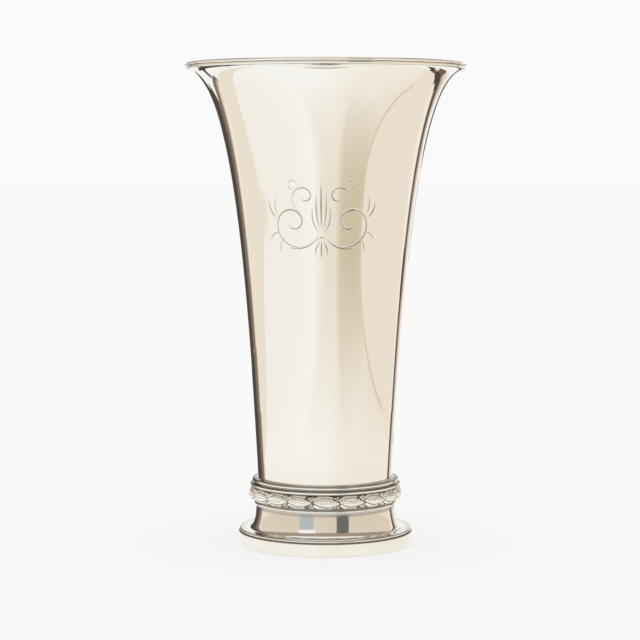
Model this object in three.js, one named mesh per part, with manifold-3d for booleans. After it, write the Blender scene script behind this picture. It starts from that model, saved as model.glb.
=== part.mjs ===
// A silver trumpet vase: a raised body with a reeded lip, standing on a spun foot, with a laurel collar
// over the joint between them. Millimetres, +Z up, origin at the middle of the foot's underside.
import * as THREE from 'three';
import { mergeVertices } from 'three/addons/utils/BufferGeometryUtils.js';
import Module from 'manifold-3d';

// Sheet and joints
const SHEET = 0.8; // thickness of the silver sheet
const SOLDER_GAP = 0.1; // film of solder between neighbouring pieces

// Body: one sweep from the collar out to the lip
const BODY_BASE_RADIUS = 34.5;
const BODY_HEIGHT = 223.8;
const LIP_RADIUS = 70.9;
const TAPER_OUT = 6.0; // the lower end of the sweep heads out this far
const TAPER_UP = 109.75; // while it rises this far
const FLARE_IN = 23.4; // the upper end of the sweep comes from this far inside the lip
const FLARE_DOWN = 8.3; // and this far below it
const FLOOR_THICKNESS = 1.2;

// Lip: a lip wire seated on the sheet's edge, with a thinner reed under it
const RIM_REED_HEIGHT = 1.5;
const RIM_REED_WIDTH = 1.2;
const LIP_WIRE_HEIGHT = 1.5;
const LIP_WIRE_WIDTH = 2.0;
const LIP_SEAT = 3.6; // how far the lip wire reaches in over the sheet
const LIP_FEATHER = 0.3; // thickness of its inner edge

// Collar: a bead below, the laurel band, and two reeds above
const BASE_BEAD_HEIGHT = 2.6;
const BASE_BEAD_WIDTH = 0.9;
const BAND_HEIGHT = 7.5;
const BAND_THICKNESS = 2.3;
const BAND_CROWN = 1.8; // how far the band's face bulges
const SECOND_REED_HEIGHT = 1.9;
const SECOND_REED_WIDTH = 4.1;
const SECOND_REED_CREST = 0.7; // radius of its round crest
const TOP_REED_HEIGHT = 3.4;
const TOP_REED_WIDTH = 2.9;
const TOP_REED_CREST = 0.95;
const CREST_END = THREE.MathUtils.degToRad(75); // where a crest passes into the hollow above it
const RING_LAND = 0.2; // least flat above and below a half-round ring's bulge

// Laurel leaves and berries on the band
const LEAF_UNITS = 18;
const LEAF_LENGTH = 13.2;
const LEAF_WIDTH = 5.0;
const LEAF_RELIEF = 1.2;
const SIDE_LEAF_LENGTH = 9.8;
const SIDE_LEAF_WIDTH = 3.2;
const SIDE_LEAF_RELIEF = 0.8;
const SIDE_LEAF_RISE = 2.3; // above and below the band's middle
const SIDE_LEAF_START = 5.0; // from a joint between leaves to a side leaf's middle
const SIDE_LEAF_LEAN = THREE.MathUtils.degToRad(8);
const BERRY_RADIUS = 0.75;
const BERRY_RISE = 2.5;

// Foot: a spun shell with a neck, a cove and a flange with a rolled edge, on a plain plinth band
const NECK_STEP = 1.7; // the neck is wider than the body's base by this much
const NECK_LEAN = THREE.MathUtils.degToRad(4.4); // how it leans out below the base bead
const SEAT_WIDTH = 3.0; // ring turned in at the neck's top, inside the body's wall
const COVE_WIDTH = 4.4;
const COVE_HEIGHT = 11.3;
const COVE_PULL_IN = 2.4; // the cove leaves the flange level for about this far
const COVE_PULL_DOWN = 8.4; // and follows the neck's lean for about this far
const FLANGE_WIDTH = 3.4; // flat ring between the cove and the rolled edge
const EDGE_ROLL = 1.0; // radius of the rolled edge
const PLINTH_HEIGHT = 6.9;
const PLINTH_PROUD = 0.4; // how far the band stands out past the foot's edge
const PLINTH_LEDGE = 0.8; // how far it reaches in past the lowest line of the rolled edge
const PLINTH_BEVEL = 0.4;

// Fineness of the facets
const FACETS = 48; // around the vase
const ARC_STEPS = 2; // a round stretch of a section has twice as many
const SWEEP_STEPS = 14; // along the body
const SEAT_STEPS = 2; // along the lip wire's seat
const COVE_STEPS = 6; // along the foot's cove
const LEAF_STEPS = 4; // along a leaf
const LEAF_SIDES = 4; // a rib, two edges and a keel

// Heights and radii where the pieces meet
const RIM_BOTTOM = PLINTH_HEIGHT + SOLDER_GAP;
const FLANGE_TOP = RIM_BOTTOM + 2 * EDGE_ROLL;
const COVE_TOP = FLANGE_TOP + COVE_HEIGHT;
const FOOT_TOP = COVE_TOP + BASE_BEAD_HEIGHT;
const BODY_BASE = FOOT_TOP + SOLDER_GAP;
const BAND_TOP = BODY_BASE + BAND_HEIGHT;
const SECOND_REED_BASE = BAND_TOP + SOLDER_GAP;
const TOP_REED_BASE = SECOND_REED_BASE + SECOND_REED_HEIGHT + SOLDER_GAP;
const LIP_HEIGHT = BODY_BASE + BODY_HEIGHT;
const RIM_REED_BASE = LIP_HEIGHT + SOLDER_GAP;
const LIP_WIRE_BASE = RIM_REED_BASE + RIM_REED_HEIGHT + SOLDER_GAP;
const NECK_RADIUS = BODY_BASE_RADIUS + NECK_STEP;
const COVE_FOOT = NECK_RADIUS + COVE_WIDTH;
const ROLL_MIDDLE = COVE_FOOT + FLANGE_WIDTH;
const FOOT_RADIUS = ROLL_MIDDLE + EDGE_ROLL;

const QUARTER = Math.PI / 2;
const wasm = await Module();
wasm.setup();

// The body's outer outline, as radius and height, from its base to the lip
const sweep = new THREE.CubicBezierCurve(
  new THREE.Vector2(BODY_BASE_RADIUS, BODY_BASE),
  new THREE.Vector2(BODY_BASE_RADIUS + TAPER_OUT, BODY_BASE + TAPER_UP),
  new THREE.Vector2(LIP_RADIUS - FLARE_IN, LIP_HEIGHT - FLARE_DOWN),
  new THREE.Vector2(LIP_RADIUS, LIP_HEIGHT),
);

// A point of the body's wall, a depth in from its outer face
function wallPoint(t, depth) {
  const along = sweep.getTangent(t);
  const inward = new THREE.Vector2(-along.y, along.x);
  return sweep.getPoint(t).addScaledVector(inward, depth);
}

// The body's outer radius at a height, found by halving
function bodyRadius(height) {
  let t = 0;
  for (let step = 0.5; step > Number.EPSILON; step /= 2) {
    if (sweep.getPoint(t + step).y < height) t += step;
  }
  return sweep.getPoint(t).x;
}

// Radius of a bore that fits round the body at a height
function boreRadius(height) {
  return bodyRadius(height) + SOLDER_GAP;
}

// A closed section, drawn as radius and height, turned about the vase's axis
function turned(points) {
  return new THREE.LatheGeometry([...points, points[0]], FACETS).rotateX(QUARTER);
}

// A ring with a straight bore and a half-round face that stands out by a width
function halfRound(boreBelow, boreAbove, base, height, width) {
  const bulge = Math.min(height / 2, width - RING_LAND);
  const shoulder = Math.max(boreBelow, boreAbove) + width - bulge;
  const section = new THREE.Path();
  section.moveTo(boreBelow, base);
  section.lineTo(shoulder, base);
  section.absellipse(shoulder, base + height / 2, bulge, height / 2, -QUARTER, QUARTER, false);
  section.lineTo(boreAbove, base + height);
  return turned(section.getPoints(ARC_STEPS));
}

function bodyShell() {
  const steps = Array.from({ length: SWEEP_STEPS + 1 }, (_, step) => step / SWEEP_STEPS);
  const outside = steps.map((t) => wallPoint(t, 0));
  const inside = steps.map((t) => wallPoint(t, SHEET)).reverse();
  inside.at(-1).y = BODY_BASE;
  return turned([...outside, ...inside]);
}

// The floor is let into the body's lower end, and rests with it on the foot's seat
function bodyFloor() {
  const edge = BODY_BASE_RADIUS - SHEET - SOLDER_GAP;
  const section = [
    new THREE.Vector2(0, BODY_BASE),
    new THREE.Vector2(edge, BODY_BASE),
    new THREE.Vector2(edge, BODY_BASE + FLOOR_THICKNESS),
    new THREE.Vector2(0, BODY_BASE + FLOOR_THICKNESS),
  ];
  return new THREE.LatheGeometry(section, FACETS).rotateX(QUARTER);
}

function rimReed() {
  const bore = LIP_RADIUS + SOLDER_GAP;
  return halfRound(bore, bore, RIM_REED_BASE, RIM_REED_HEIGHT, RIM_REED_WIDTH);
}

// The lip wire is half-round outside, and thins out over the inner face of the sheet that it sits on
function lipWire() {
  const bulge = LIP_WIRE_HEIGHT / 2;
  const shoulder = LIP_RADIUS + SOLDER_GAP + LIP_WIRE_WIDTH - bulge;
  const seatStart = sweep.getUtoTmapping(0, sweep.getLength() - LIP_SEAT);
  const feather = wallPoint(seatStart, SHEET + SOLDER_GAP + LIP_FEATHER);
  const section = new THREE.Path();
  section.moveTo(LIP_RADIUS, LIP_WIRE_BASE);
  section.lineTo(shoulder, LIP_WIRE_BASE);
  section.absarc(shoulder, LIP_WIRE_BASE + bulge, bulge, -QUARTER, QUARTER, false);
  section.quadraticCurveTo(LIP_RADIUS, LIP_WIRE_BASE + LIP_WIRE_HEIGHT, feather.x, feather.y);
  const seat = [];
  for (let step = 0; step <= SEAT_STEPS; step += 1) {
    const t = THREE.MathUtils.lerp(seatStart, 1, step / SEAT_STEPS);
    seat.push(wallPoint(t, SHEET + SOLDER_GAP));
  }
  return turned([...section.getPoints(ARC_STEPS), ...seat]);
}

// A ring round the body with a low round crest, under a hollow that runs in to a radius at its top
function collarReed(base, height, width, crest, hollowTop) {
  const top = base + height;
  const middle = boreRadius(top) + width - crest;
  const section = new THREE.Path();
  section.moveTo(boreRadius(base), base);
  section.lineTo(middle, base);
  section.absarc(middle, base + RING_LAND + crest, crest, -QUARTER, CREST_END, false);
  const edge = section.currentPoint.y;
  section.quadraticCurveTo(hollowTop + RING_LAND, edge, hollowTop, top);
  section.lineTo(boreRadius(top), top);
  return turned(section.getPoints(ARC_STEPS));
}

function topReed() {
  const hollowTop = boreRadius(TOP_REED_BASE + TOP_REED_HEIGHT) + RING_LAND;
  return collarReed(TOP_REED_BASE, TOP_REED_HEIGHT, TOP_REED_WIDTH, TOP_REED_CREST, hollowTop);
}

// The second reed's hollow ends under the top reed's crest
function secondReed() {
  const hollowTop = boreRadius(TOP_REED_BASE + TOP_REED_HEIGHT) + TOP_REED_WIDTH - TOP_REED_CREST;
  return collarReed(
    SECOND_REED_BASE, SECOND_REED_HEIGHT, SECOND_REED_WIDTH, SECOND_REED_CREST, hollowTop,
  );
}

function baseBead() {
  const bore = NECK_RADIUS + SOLDER_GAP;
  return halfRound(bore, bore, COVE_TOP, BASE_BEAD_HEIGHT, BASE_BEAD_WIDTH);
}

// Radius of the band's bulging face, a rise above or below its middle
function bandRadius(rise) {
  const share = Math.min(1, Math.abs(rise) / (BAND_HEIGHT / 2));
  return boreRadius(BODY_BASE) + BAND_THICKNESS + BAND_CROWN * Math.sqrt(1 - share * share);
}

// A closed geometry as a solid that can be joined and cut
function solid(geometry) {
  geometry.deleteAttribute('normal');
  geometry.deleteAttribute('uv');
  const merged = mergeVertices(geometry);
  return new wasm.Manifold(new wasm.Mesh({
    numProp: 3,
    vertProperties: Float32Array.from(merged.attributes.position.array),
    triVerts: Uint32Array.from(merged.index.array),
  }));
}

// A pointed leaf with a rib, lying along X on the XY plane, with its relief in Z
function leaf(length, width, relief) {
  const outline = [];
  for (let step = 0; step <= LEAF_STEPS; step += 1) {
    const share = step / LEAF_STEPS;
    const swell = step % LEAF_STEPS === 0 ? 0 : Math.sin(Math.PI * share);
    outline.push(new THREE.Vector2(swell, length * (share - 0.5)));
  }
  const lens = new THREE.LatheGeometry(outline, LEAF_SIDES);
  return lens.rotateZ(-QUARTER).scale(1, width / 2, relief);
}

// Bends a flat shape round the band: X runs round it, Y up it and Z out of it
function bentOnBand(flat, around, rise) {
  const places = flat.attributes.position;
  const middle = BODY_BASE + BAND_HEIGHT / 2;
  for (let index = 0; index < places.count; index += 1) {
    const height = rise + places.getY(index);
    const radius = bandRadius(height) + places.getZ(index);
    const angle = around + places.getX(index) / bandRadius(0);
    places.setXYZ(index, radius * Math.cos(angle), radius * Math.sin(angle), middle + height);
  }
  return flat;
}

// One repeat of the garland: a large leaf, and two side leaves and two berries at the joint before it
function garlandShapes(leafAngle, jointAngle) {
  const sideAngle = jointAngle + SIDE_LEAF_START / bandRadius(0);
  const shapes = [bentOnBand(leaf(LEAF_LENGTH, LEAF_WIDTH, LEAF_RELIEF), leafAngle, 0)];
  for (const side of [-1, 1]) {
    const sideLeaf = leaf(SIDE_LEAF_LENGTH, SIDE_LEAF_WIDTH, SIDE_LEAF_RELIEF);
    sideLeaf.rotateZ(side * SIDE_LEAF_LEAN);
    shapes.push(bentOnBand(sideLeaf, sideAngle, side * SIDE_LEAF_RISE));
    shapes.push(bentOnBand(new THREE.IcosahedronGeometry(BERRY_RADIUS), jointAngle, side * BERRY_RISE));
  }
  return shapes;
}

function laurelBand() {
  const face = bandRadius(BAND_HEIGHT / 2);
  const strip = new THREE.Path();
  strip.moveTo(boreRadius(BODY_BASE), BODY_BASE);
  strip.lineTo(face, BODY_BASE);
  strip.absellipse(
    face, BODY_BASE + BAND_HEIGHT / 2, BAND_CROWN, BAND_HEIGHT / 2, -QUARTER, QUARTER, false,
  );
  strip.lineTo(boreRadius(BAND_TOP), BAND_TOP);
  let band = solid(turned(strip.getPoints(ARC_STEPS)));

  const unit = (2 * Math.PI) / LEAF_UNITS;
  for (let index = 0; index < LEAF_UNITS; index += 1) {
    const leafAngle = index * unit - QUARTER;
    for (const shape of garlandShapes(leafAngle, leafAngle - unit / 2)) band = band.add(solid(shape));
  }

  // Nothing on the band reaches past its edges or into its bore
  const reach = bandRadius(0) + LEAF_RELIEF + SIDE_LEAF_RELIEF + BERRY_RADIUS;
  const room = solid(turned([
    new THREE.Vector2(boreRadius(BODY_BASE), BODY_BASE),
    new THREE.Vector2(reach, BODY_BASE),
    new THREE.Vector2(reach, BAND_TOP),
    new THREE.Vector2(boreRadius(BAND_TOP), BAND_TOP),
  ]));
  const { vertProperties, triVerts } = band.intersect(room).getMesh();
  const geometry = new THREE.BufferGeometry();
  geometry.setAttribute('position', new THREE.BufferAttribute(vertProperties, 3));
  geometry.setIndex(new THREE.BufferAttribute(triVerts, 1));
  geometry.computeVertexNormals();
  return geometry;
}

// The cove from the flange up to the base bead, a depth inside the foot's outer face
function covePoints(depth) {
  const pullIn = COVE_PULL_IN * (1 + depth / COVE_WIDTH);
  const pullDown = COVE_PULL_DOWN * (1 + depth / COVE_HEIGHT);
  const neck = NECK_RADIUS - depth;
  const curve = new THREE.CubicBezierCurve(
    new THREE.Vector2(COVE_FOOT, FLANGE_TOP - depth),
    new THREE.Vector2(COVE_FOOT - pullIn, FLANGE_TOP - depth),
    new THREE.Vector2(neck + pullDown * Math.tan(NECK_LEAN), COVE_TOP - pullDown),
    new THREE.Vector2(neck, COVE_TOP),
  );
  return curve.getPoints(COVE_STEPS);
}

// The spun foot: a closely rolled edge, flange, cove, neck and seat outside, and the sheet's inner face
function footShell() {
  const seatBore = BODY_BASE_RADIUS - SHEET - SEAT_WIDTH;
  const roll = new THREE.Path();
  roll.absarc(ROLL_MIDDLE, RIM_BOTTOM + EDGE_ROLL, EDGE_ROLL, -QUARTER, QUARTER, false);
  return turned([
    ...roll.getPoints(ARC_STEPS),
    ...covePoints(0),
    new THREE.Vector2(NECK_RADIUS, FOOT_TOP),
    new THREE.Vector2(seatBore, FOOT_TOP),
    new THREE.Vector2(seatBore, FOOT_TOP - SHEET),
    new THREE.Vector2(NECK_RADIUS - SHEET, FOOT_TOP - SHEET),
    ...covePoints(SHEET).reverse(),
    new THREE.Vector2(ROLL_MIDDLE, FLANGE_TOP - SHEET),
  ]);
}

// A plain strip that carries the foot's rolled edge
function plinthBand() {
  const inner = ROLL_MIDDLE - PLINTH_LEDGE;
  const outer = FOOT_RADIUS + PLINTH_PROUD;
  return turned([
    new THREE.Vector2(inner, 0),
    new THREE.Vector2(outer - PLINTH_BEVEL, 0),
    new THREE.Vector2(outer, PLINTH_BEVEL),
    new THREE.Vector2(outer, PLINTH_HEIGHT - PLINTH_BEVEL),
    new THREE.Vector2(outer - PLINTH_BEVEL, PLINTH_HEIGHT),
    new THREE.Vector2(inner, PLINTH_HEIGHT),
  ]);
}

const vase = new THREE.Group();
vase.name = 'silver_vase';

function addPiece(name, geometry, color, roughness) {
  const material = new THREE.MeshStandardMaterial({ color, roughness, metalness: 1 });
  const piece = new THREE.Mesh(geometry, material);
  piece.name = name;
  vase.add(piece);
}

addPiece('body_shell', bodyShell(), 0xeeeae0, 0.08);
addPiece('body_floor', bodyFloor(), 0xd8d2c4, 0.25);
addPiece('rim_reed', rimReed(), 0xe2dccf, 0.16);
addPiece('lip_wire', lipWire(), 0xe9e4d8, 0.14);
addPiece('collar_top_reed', topReed(), 0xe2dccf, 0.16);
addPiece('collar_second_reed', secondReed(), 0xe2dccf, 0.16);
addPiece('laurel_band', laurelBand(), 0xcfc8b8, 0.3);
addPiece('collar_base_bead', baseBead(), 0xe9e4d8, 0.14);
addPiece('foot_shell', footShell(), 0xe4dccd, 0.12);
addPiece('plinth_band', plinthBand(), 0xe9e4d8, 0.14);

export default vase;
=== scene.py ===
"""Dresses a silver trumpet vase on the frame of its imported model.

Every piece is a fine mesh in metres, made where its solid stands: the raised body with an engraved
ornament, the wires of its lip and collar, the chased laurel band and the spun foot on its plinth.
"""
import math

import bmesh
import bpy
import numpy as np
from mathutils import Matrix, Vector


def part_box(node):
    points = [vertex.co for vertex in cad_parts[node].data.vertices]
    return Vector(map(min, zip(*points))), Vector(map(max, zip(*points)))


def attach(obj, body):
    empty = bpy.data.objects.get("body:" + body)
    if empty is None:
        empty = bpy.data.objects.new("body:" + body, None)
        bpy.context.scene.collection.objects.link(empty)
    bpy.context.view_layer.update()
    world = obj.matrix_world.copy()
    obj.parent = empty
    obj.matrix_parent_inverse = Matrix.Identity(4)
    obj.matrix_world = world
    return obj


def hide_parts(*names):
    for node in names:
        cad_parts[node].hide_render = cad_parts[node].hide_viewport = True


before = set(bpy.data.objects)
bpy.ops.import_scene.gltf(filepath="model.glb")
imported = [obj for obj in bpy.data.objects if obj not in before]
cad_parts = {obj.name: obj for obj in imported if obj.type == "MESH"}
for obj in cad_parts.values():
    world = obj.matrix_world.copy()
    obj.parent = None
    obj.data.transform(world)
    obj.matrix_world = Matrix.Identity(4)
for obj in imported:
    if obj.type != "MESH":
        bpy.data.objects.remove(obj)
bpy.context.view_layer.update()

bl_info = {
    "name": "Silver Trumpet Vase",
    "version": (1, 0, 0),
    "blender": (4, 5, 0),
    "location": "View3D > Sidebar > Vase",
    "description": "Makes a polished silver trumpet vase with a laurel collar",
    "category": "Add Mesh",
}

MM = 0.001
BODY = "root"
SOLDER_FILM = 0.1 * MM

# Fineness of the meshes
AROUND = 256  # steps round a turned ring
ARC_STEPS = 14  # steps along a round stretch of a section
BODY_COLUMNS = 140  # steps round the body
BODY_ROWS = 110  # steps from the body's base to its lip
FINE = 10  # the engraved window has this many steps in one of the body's
INSIDE_ROWS = 60  # steps down the body's inside
SWEEP_STEPS = 4000  # steps of the body's outline, from which its rows are taken
CUT_STEPS = 60  # steps along an engraved bow
SPIRAL_STEPS = 160  # steps along an engraved spiral
STAMPS = 4  # places in one such step where the graver's point is pressed in
CORNER_STEPS = 6  # steps round a small corner
DOME_STEPS = 24  # steps from the floor's edge to its middle
SHARP_ANGLE = math.radians(40)  # edges that turn by more are drawn sharp
MERGE_DISTANCE = 0.001 * MM  # vertices nearer than this become one

# Silver
NOISE_SPREAD = {'From Min': 0.3, 'From Max': 0.7}  # where most values of a noise texture lie
PATCHES = {'To Min': 0.55, 'To Max': 1.2}  # how the tarnish varies from patch to patch
OXIDE_ROUGHNESS = 0.3  # how much rougher than the polish full oxide is

# Engraving
SWELLING = 1.2  # the higher, the longer a cut stays thin at its ends
FULL_OXIDE = 0.6  # share of the greatest depth from which a cut is as dark as it gets

# Wires, measured in radii of a crest where they aren't angles
CREST_END = 75  # degrees above level at which a crest passes into the hollow over it
# Over a crest the dark is partly oxide in the hollow and partly a painted reflection of a dark room overhead
OVER_CREST = 0.7, 0.3  # below a crest's upper edge: where oxide begins and where it is full
# Round the base bead the dark is partly oxide and partly painted shade and painted reflection
OFF_BEAD = 0.4, 0.7  # above and below the middle of the base bead: where oxide begins


def linear(code):
    """Linear red, green and blue of an sRGB hex colour."""
    shares = [int(code[start:start + 2], 16) / 255 for start in (1, 3, 5)]
    return [share / 12.92 if share <= 0.04045 else ((share + 0.055) / 1.055) ** 2.4 for share in shares]


def span(node):
    """Lowest height, highest height and outer radius of one of the vase's rings."""
    low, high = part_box(node)
    return low.z, high.z, high.x


def length(name, description, default):
    """A length property, in metres."""
    return bpy.props.FloatProperty(
        name=name, description=description, default=default, min=0, precision=5, unit='LENGTH')


def angle(name, description, degrees):
    """An angle property, given in degrees."""
    return bpy.props.FloatProperty(
        name=name, description=description, default=math.radians(degrees), unit='ROTATION')


def count(name, description, default):
    """A whole number of like features."""
    return bpy.props.IntProperty(name=name, description=description, default=default, min=1)


def fraction(name, description, default):
    """A share between none and all."""
    return bpy.props.FloatProperty(
        name=name, description=description, default=default, min=0, max=1, subtype='FACTOR')


def colour(name, description, code):
    """A colour property, given as an sRGB hex value."""
    return bpy.props.FloatVectorProperty(
        name=name, description=description, default=linear(code), size=3, min=0, max=1, subtype='COLOR')


class VaseBodySizes(bpy.types.PropertyGroup):
    """Sizes of the raised body and its floor."""
    base_radius: length("Base radius", "Outer radius of the body's lower end", 34.5 * MM)
    lip_radius: length("Lip radius", "Outer radius of the sheet's edge at the lip", 70.9 * MM)
    base_height: length("Base height", "Where the body stands on the foot", span("body_shell")[0])
    lip_height: length("Lip height", "Height of the sheet's outer edge", span("rim_reed")[0] - SOLDER_FILM)
    taper_out: length("Taper out", "How far the lower end of the sweep heads outwards", 6.0 * MM)
    taper_up: length("Taper up", "How far it rises meanwhile", 109.75 * MM)
    flare_in: length("Flare in", "How far inside the lip the upper end of the sweep comes from", 23.4 * MM)
    flare_down: length("Flare down", "How far below the lip it comes from", 8.3 * MM)
    sheet: length("Sheet", "Thickness of the silver sheet", 0.8 * MM)
    floor_radius: length("Floor radius", "Radius of the disc in the body's lower end", span("body_floor")[2])
    floor_top: length("Floor top", "Height of that disc's upper face", span("body_floor")[1])
    floor_dome: length("Floor dome", "How far that disc is domed", 0.5 * MM)
    fillet: length("Solder fillet", "Width of the solder round the floor", 0.7 * MM)


class VaseOrnamentSizes(bpy.types.PropertyGroup):
    """Sizes of the engraved ornament on the body's front."""
    height: length("Height", "Height of the ornament's middle", 171.5 * MM)
    turn: angle("Turn", "How far the ornament is turned round from the front", -3)
    half_width: length("Half width", "Half the width of the engraved window", 29 * MM)
    half_height: length("Half height", "Half the height of the engraved window", 22 * MM)
    hairline: length("Hairline", "Width of the thinnest cuts", 0.3 * MM)
    swell: length("Swell", "Width of the widest cuts", 0.85 * MM)
    steepness: fraction("Steepness", "Depth of a cut as a share of its width", 0.2)
    oxide: fraction("Oxide", "How dark the deepest cuts are", 0.55)


class VaseWireSizes(bpy.types.PropertyGroup):
    """Sizes, oxide and painted shade of the wires on the lip and the collar."""
    gap: length("Solder film", "Film of solder between neighbouring pieces", SOLDER_FILM)
    land: length("Land", "Flat above and below the bulge of a half-round wire", 0.2 * MM)
    lip_seat: length("Lip seat", "How far the lip wire reaches in over the sheet", 3.6 * MM)
    lip_feather: length("Lip feather", "Thickness of the lip wire's inner edge", 0.3 * MM)
    bead_bore: length("Bead bore", "Radius of the base bead's bore", 36.3 * MM)
    crevice: length("Crevice", "Width of the dark line where two wires meet", 0.35 * MM)
    top_crest: length("Top crest", "Radius of the top reed's crest", 0.95 * MM)
    second_crest: length("Second crest", "Radius of the second reed's crest", 0.7 * MM)
    bead_crest: length("Bead crest", "Radius of the base bead's crest", 0.75 * MM)
    hollow_rise: length("Hollow rise", "Height of the hollow above a reed's crest", 0.4 * MM)
    lip_oxide: fraction("Lip oxide", "How dark the crevice under the lip wire is", 0.15)
    reed_oxide: fraction("Reed oxide", "How dark the crevices of the lip's reed are", 0.12)
    # Partly oxide, partly a painted reflection of a dark room overhead
    over_oxide: fraction("Oxide over crests", "How dark the collar's wires are above their crests", 0.75)
    # Partly oxide, partly painted shade under the crests
    under_oxide: fraction("Oxide under crests", "How dark they are below their crests", 0.4)


class VaseLaurelSizes(bpy.types.PropertyGroup):
    """Sizes of the chased laurel band."""
    units: count("Units", "Large leaves round the band", 18)
    thickness: length("Thickness", "Thickness of the strip at its edges", 2.3 * MM)
    crown: length("Crown", "How far the strip's face bulges", 1.8 * MM)
    leaf_length: length("Leaf length", "Length of a large leaf", 13.9 * MM)
    leaf_width: length("Leaf width", "Width of a large leaf", 4.7 * MM)
    leaf_relief: length("Leaf relief", "How far a large leaf stands out", 1.2 * MM)
    leaf_lean: angle("Leaf lean", "How far a large leaf dips to the right", 3)
    side_length: length("Side leaf length", "Length of a side leaf", 11.2 * MM)
    side_width: length("Side leaf width", "Width of a side leaf", 3.8 * MM)
    side_relief: length("Side leaf relief", "How far a side leaf stands out", 0.8 * MM)
    side_start: length("Side leaf start", "From a joint between leaves to a side leaf's middle", 4.9 * MM)
    side_rise: length("Side leaf rise", "From the band's middle to a side leaf's middle", 2.1 * MM)
    side_lean: angle("Side leaf lean", "How far a side leaf leans out", 9)
    berry_radius: length("Berry radius", "Radius of a berry", 0.75 * MM)
    berry_rise: length("Berry rise", "From the band's middle to a berry", 2.5 * MM)
    groove: length("Groove", "Width of the cut round a leaf", 0.25 * MM)
    vein: length("Vein", "From one vein of a leaf to the next", 0.9 * MM)
    dent: length("Dent", "Depth of the dents that the punches left on the leaves", 0.05 * MM)


class VaseFootSizes(bpy.types.PropertyGroup):
    """Sizes, painted shade and tarnish of the spun foot and its plinth band."""
    neck_radius: length("Neck radius", "Outer radius of the foot's neck under the base bead", 36.2 * MM)
    neck_lean: angle("Neck lean", "How far the neck leans out on its way down", 6.5)
    seat_bore: length("Seat bore", "Bore of the ring that carries the body", 30.7 * MM)
    cove_width: length("Cove width", "Width of the hollow curve below the neck", 4.4 * MM)
    cove_pull_in: length("Cove pull in", "How far the cove keeps level from the flange", 2.4 * MM)
    cove_pull_down: length("Cove pull down", "How far it follows the neck's lean from the bead", 8.4 * MM)
    edge_roll: length("Edge roll", "Radius of the rolled edge", 0.7 * MM)
    plinth_ledge: length(
        "Plinth ledge", "How far the plinth reaches in past the rolled edge's lowest line", 0.8 * MM)
    plinth_softening: length("Plinth softening", "Rounding of the plinth's edges", 0.35 * MM)
    # Painted shadow of the base bead on the neck
    bead_oxide: fraction("Bead oxide", "How dark the neck is under the base bead", 0.5)
    # Painted shade in the gap under the rolled edge
    roll_oxide: fraction("Roll oxide", "How dark the rolled edge is underneath", 0.85)
    # Painted reflection of a dark room overhead on the rolled edge's top
    edge_oxide: fraction("Edge oxide", "How dark the rolled edge is on top", 0.4)
    # Painted shade on the plinth's top, in the gap under the rolled edge
    plinth_oxide: fraction("Plinth oxide", "How dark the plinth is under the rolled edge", 0.85)
    # Painted contact shadow where the plinth meets the table
    base_oxide: fraction("Base oxide", "How dark the plinth is at the table", 0.3)
    flange_tarnish: fraction("Flange tarnish", "Warm tarnish on the flange", 0.08)
    neck_tarnish: fraction("Neck tarnish", "Warm tarnish on the neck", 0.2)
    plinth_tarnish: fraction("Plinth tarnish", "Warm tarnish on the plinth", 0.2)


class VaseFinish(bpy.types.PropertyGroup):
    """Colours of the silver's finishes, and the tarnish they share."""
    bright: colour("Bright silver", "Clean polished silver", "#FAF8F3")
    warm: colour("Warm tarnish", "First yellowish film of tarnish", "#E3D2B4")
    # This oxide colour also paints shade and dark reflections on the collar's wires and the foot
    oxide: colour("Oxide", "Dark film in cuts and hollows", "#64594D")
    dull: colour("Dull silver", "Unpolished silver inside the vase", "#DAD5C9")
    film: fraction("Film", "Warm tarnish that lies everywhere", 0.04)
    cloud: length("Cloud", "Size of the patches of tarnish", 24 * MM)
    collar_tarnish: fraction("Collar tarnish", "Warm tarnish on the body above the collar", 0.12)
    collar_reach: length("Collar reach", "How far up the body that tarnish goes", 14 * MM)


class VaseStageSizes(bpy.types.PropertyGroup):
    """The camera, the floor and what the silver mirrors."""
    camera: bpy.props.FloatVectorProperty(
        name="Camera", description="Where the camera stands", size=3, subtype='TRANSLATION',
        default=(-2.8 * MM, -1086.5 * MM, 200.9 * MM))
    tilt: angle("Tilt", "How far the camera looks down", 4.42)
    lens: bpy.props.FloatProperty(
        name="Lens", description="Focal length", default=117.4, min=1, unit='CAMERA')
    floor_size: length("Floor size", "Side of the pale floor", 30.0)
    backdrop: colour("Backdrop", "White that surrounds the vase", "#FAFAFA")
    floor: colour("Floor", "Pale table top", "#FAFAF9")
    floor_drop: length("Floor drop", "How far the floor lies below the vase", 0.05 * MM)
    floor_glow: fraction("Floor glow", "Share of the floor's brightness that no shadow reaches", 0.7)
    light: fraction("Light", "Strength of the even light", 0.98)
    beige: colour("Beige", "Warm paper beside the vase", "#EFE6D9")
    sand: colour("Sand", "Shadow along that paper's edge", "#D6C8AF")
    tan: colour("Tan", "Shade at the table's front edge", "#C9BA9C")
    # Painted warm light that the beige paper throws on the table top
    pale: colour("Pale", "Table top warmed by that paper", "#F5F0E7")
    milk: colour("Milk", "Table top on the left", "#F8F5F0")
    cream: colour("Cream", "Bright edge of a paper", "#FBF0E4")
    peach: colour("Peach", "Warm edge of the dark screens", "#D9C8AF")
    greige: colour("Greige", "Grey paper beside the dark screens", "#CFC5B9")
    umber: colour("Umber", "Lighter part of the dark screens", "#83776A")
    dark: colour("Dark", "Dark screens beside the vase", "#514942")
    # Painted reflection in the table top
    brown: colour("Brown", "Lighter patch of the right rug", "#7E6048")
    wall: colour("Wall", "Wall of the room in front of the vase", "#E0D6C8")
    shade: colour("Shade", "Shaded upper part of the room", "#A4978A")
    sky: colour("Sky", "Window in that wall", "#B9C3CB")
    slate: colour("Slate", "Dark doorway in that wall", "#6C6E70")


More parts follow.
